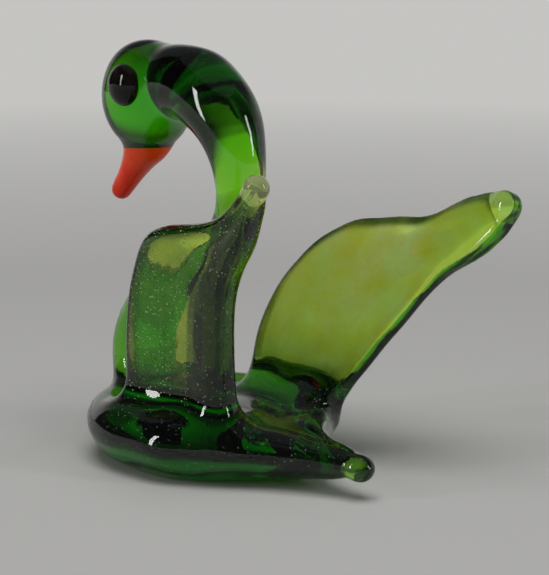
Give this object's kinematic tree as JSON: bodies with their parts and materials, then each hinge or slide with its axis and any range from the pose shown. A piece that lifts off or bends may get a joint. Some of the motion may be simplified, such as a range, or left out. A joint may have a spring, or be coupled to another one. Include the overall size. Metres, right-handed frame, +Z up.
{
  "type": "glass swan figurine",
  "caption": "Small flameworked green glass swan with raised wings, curved neck, orange beak and black bead eyes on a flattened drop-shaped body.",
  "frame": {"origin": "centre of the round part of the body, on the flat underside", "axes": "+Z up, the swan faces -Y, +X towards the swan's left side"},
  "size_m": [0.0271, 0.0414, 0.039],
  "materials": {
    "green_glass": "fire-polished deep green glass",
    "thin_green_glass": "fire-polished yellow-green glass, thin",
    "orange_glass": "fire-polished orange-red glass, nearly opaque",
    "black_glass": "fire-polished black glass"
  },
  "bodies": {
    "root": {"body": "green_glass", "tail_bead": "green_glass", "neck": "green_glass", "head": "green_glass", "left_wing": "thin_green_glass", "right_wing": "thin_green_glass", "left_wing_tip_bead": "thin_green_glass", "right_wing_tip_bead": "thin_green_glass", "beak": "orange_glass", "left_eye": "black_glass", "right_eye": "black_glass"}
  },
  "joints": []
}
